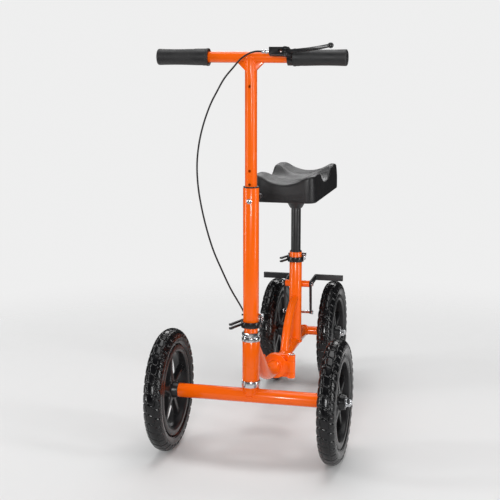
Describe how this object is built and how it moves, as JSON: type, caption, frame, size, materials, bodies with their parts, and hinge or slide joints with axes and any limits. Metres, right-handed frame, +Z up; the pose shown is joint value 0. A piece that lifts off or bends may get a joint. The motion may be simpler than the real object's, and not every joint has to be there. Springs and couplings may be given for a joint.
{
  "type": "knee scooter",
  "caption": "Folding four-wheel knee scooter with contoured knee pad, height-adjustable T-handlebar, rear-wheel brake, spoked wheels and knobby tyres.",
  "frame": {"origin": "on the ground, midway between the axles and on the middle plane", "axes": "+X forward, +Y to the rider's left, +Z up"},
  "size_m": [0.965, 0.4988, 1.0027],
  "materials": {
    "frame_orange": "gloss powder coat",
    "black_metal": "satin black powder coat",
    "black_plastic": "moulded nylon",
    "rubber": "matt soft rubber",
    "cable_black": "smooth PVC housing",
    "zinc": "bright zinc plate",
    "bearing_steel": "ground steel",
    "rim_plastic": "semi-gloss moulded nylon",
    "tyre_rubber": "glossy dressed rubber",
    "pad_vinyl": "moulded integral-skin foam, fine grain"
  },
  "bodies": {
    "rear_frame": {"rear_lower_tube": "frame_orange", "seat_tube": "frame_orange", "arch_tube": "frame_orange", "rear_axle_tube": "frame_orange", "brake_cross_tube": "frame_orange", "rear_hinge_plate": "frame_orange", "hinge_pin": "zinc", "hinge_bumper": "rubber", "seat_tube_bush": "black_plastic", "seat_clamp": "black_metal", "rear_axle": "zinc", "cable_exit_boot": "rubber", "brake_cable_rear": "cable_black", "brake_pivot_bolts": "zinc"},
    "front_frame": {"front_tube": "frame_orange", "head_tube": "frame_orange", "front_hinge_plate": "frame_orange", "headset_cups": "zinc", "headset_bearings": "bearing_steel", "cable_entry_boot": "rubber", "brake_cable_front": "cable_black", "latch_bolt": "zinc"},
    "latch": {"hinge_latch": "frame_orange"},
    "steering": {"front_axle_tube": "frame_orange", "steerer_tube": "frame_orange", "headset_nuts": "zinc", "lower_column": "frame_orange", "column_bush": "black_plastic", "column_clamp": "black_metal", "front_axle_bolts": "zinc"},
    "handlebar": {"handlebar_tube": "frame_orange", "upper_column": "frame_orange", "grip_left": "rubber", "grip_right": "rubber", "lever_bracket": "black_metal", "cable_adjuster": "zinc"},
    "lever": {"brake_lever": "black_metal"},
    "brake": {"brake_yoke": "black_metal", "brake_rod": "zinc"},
    "seat": {"seat_post": "black_metal", "seat_bracket": "black_metal", "seat_pad": "pad_vinyl", "pad_screws": "zinc"},
    "column_lever": {"column_clamp_lever": "black_plastic"},
    "seat_lever": {"seat_clamp_lever": "black_plastic"},
    "column_pin": {"column_lock_pin": "zinc"},
    "seat_pin": {"seat_lock_pin": "zinc"},
    "knob": {"star_knob": "black_plastic"},
    "wheel_front_left": {"rim_front_left": "rim_plastic", "tyre_front_left": "tyre_rubber", "bearings_front_left": "bearing_steel"},
    "wheel_front_right": {"rim_front_right": "rim_plastic", "tyre_front_right": "tyre_rubber", "bearings_front_right": "bearing_steel"},
    "wheel_rear_left": {"rim_rear_left": "rim_plastic", "tyre_rear_left": "tyre_rubber", "bearings_rear_left": "bearing_steel"},
    "wheel_rear_right": {"rim_rear_right": "rim_plastic", "tyre_rear_right": "tyre_rubber", "bearings_rear_right": "bearing_steel"}
  },
  "joints": [
    {"name": "frame_fold", "type": "hinge", "parent": "rear_frame", "child": "front_frame", "pos_m": [0.05815, 0.043, 0.1525], "axis": [0, 0, 1], "range_deg": [0, 105]},
    {"name": "latch_swing", "type": "hinge", "parent": "front_frame", "child": "latch", "pos_m": [0.0663, -0.041, 0.1525], "axis": [0, 0, 1], "range_deg": [0, 110]},
    {"name": "steer", "type": "hinge", "parent": "front_frame", "child": "steering", "pos_m": [0.33, 0, 0.1525], "axis": [0, 0, 1], "range_deg": [-35, 35], "deforming": ["brake_cable_front"]},
    {"name": "handlebar_height", "type": "slide", "parent": "steering", "child": "handlebar", "axis": [0, 0, 1], "range_m": [-0.15, 0.03], "deforming": ["brake_cable_front"]},
    {"name": "brake_lever_pull", "type": "hinge", "parent": "handlebar", "child": "lever", "pos_m": [0.38216, 0.092, 0.98198], "axis": [-0.2588, 0, 0.9659], "range_deg": [0, 24], "stiffness_Nm_per_rad": 1},
    {"name": "brake_swing", "type": "hinge", "parent": "rear_frame", "child": "brake", "pos_m": [-0.23, 0, 0.316], "axis": [0, -1, 0], "range_deg": [0, 5.04], "deforming": ["brake_cable_rear"]},
    {"name": "seat_height", "type": "slide", "parent": "rear_frame", "child": "seat", "axis": [0, 0, 1], "range_m": [-0.1, 0.05]},
    {"name": "column_clamp_swing", "type": "hinge", "parent": "steering", "child": "column_lever", "pos_m": [0.3019, -0.02, 0.332], "axis": [0, 0, -1], "range_deg": [0, 120]},
    {"name": "seat_clamp_swing", "type": "hinge", "parent": "rear_frame", "child": "seat_lever", "pos_m": [-0.2266, -0.02, 0.394], "axis": [0, 0, -1], "range_deg": [0, 120]},
    {"name": "column_pin_pull", "type": "slide", "parent": "steering", "child": "column_pin", "axis": [0, 1, 0], "range_m": [0, 0.055]},
    {"name": "seat_pin_pull", "type": "slide", "parent": "rear_frame", "child": "seat_pin", "axis": [0, 1, 0], "range_m": [0, 0.055]},
    {"name": "knob_turn", "type": "hinge", "parent": "steering", "child": "knob", "pos_m": [0.3, 0, 0.64], "axis": [-1, 0, 0], "continuous": true},
    {"name": "wheel_front_left_spin", "type": "hinge", "parent": "steering", "child": "wheel_front_left", "pos_m": [0.33, 0.209, 0.1525], "axis": [0, 1, 0], "continuous": true},
    {"name": "wheel_front_right_spin", "type": "hinge", "parent": "steering", "child": "wheel_front_right", "pos_m": [0.33, -0.209, 0.1525], "axis": [0, 1, 0], "continuous": true},
    {"name": "wheel_rear_left_spin", "type": "hinge", "parent": "rear_frame", "child": "wheel_rear_left", "pos_m": [-0.33, 0.085, 0.1525], "axis": [0, 1, 0], "continuous": true},
    {"name": "wheel_rear_right_spin", "type": "hinge", "parent": "rear_frame", "child": "wheel_rear_right", "pos_m": [-0.33, -0.085, 0.1525], "axis": [0, 1, 0], "continuous": true}
  ],
  "couplings": [
    {"joint": "brake_swing", "follows": "brake_lever_pull", "ratio": 0.21}
  ]
}
